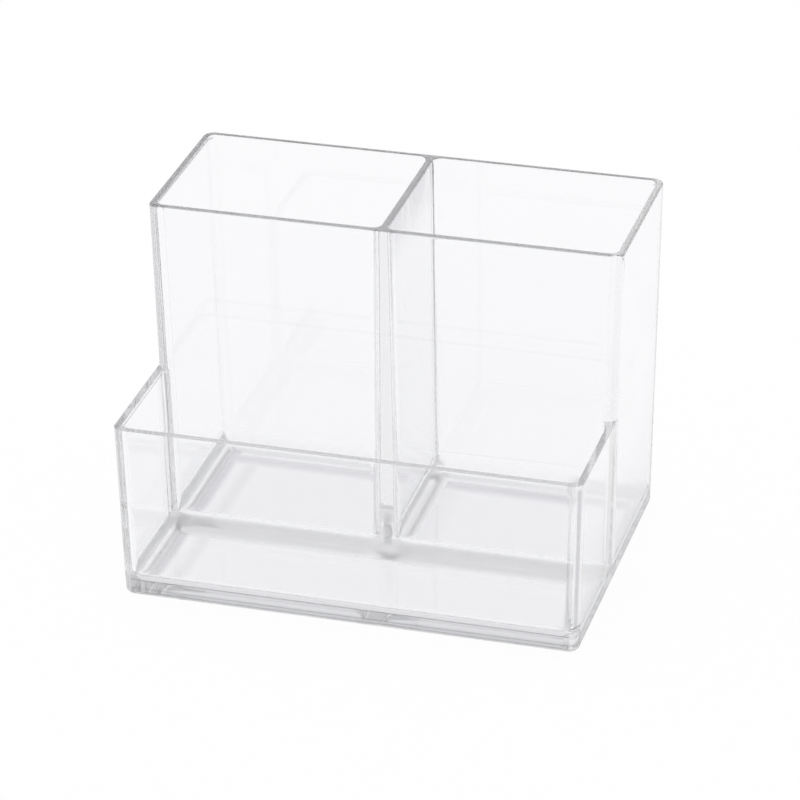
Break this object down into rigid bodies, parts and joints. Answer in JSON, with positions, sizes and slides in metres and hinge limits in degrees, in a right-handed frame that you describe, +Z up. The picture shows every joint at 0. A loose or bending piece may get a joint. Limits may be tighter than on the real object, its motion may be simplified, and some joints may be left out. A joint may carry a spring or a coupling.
{
  "type": "makeup brush holder",
  "caption": "Clear open-topped holder with tall bins side by side at the back and a low full-width tray in front, for makeup brushes and small cosmetics.",
  "frame": {"origin": "on the table, under the middle of the outline seen from above", "axes": "+X to the right along the width, +Y from the low tray to the tall back, +Z up"},
  "size_m": [0.132, 0.0896, 0.1],
  "materials": {
    "clear_plastic": "clear, polished"
  },
  "bodies": {
    "root": {"base_tray": "clear_plastic", "back_wall": "clear_plastic", "left_side_wall": "clear_plastic", "right_side_wall": "clear_plastic", "front_wall": "clear_plastic", "partition": "clear_plastic", "centre_divider": "clear_plastic"}
  },
  "joints": []
}
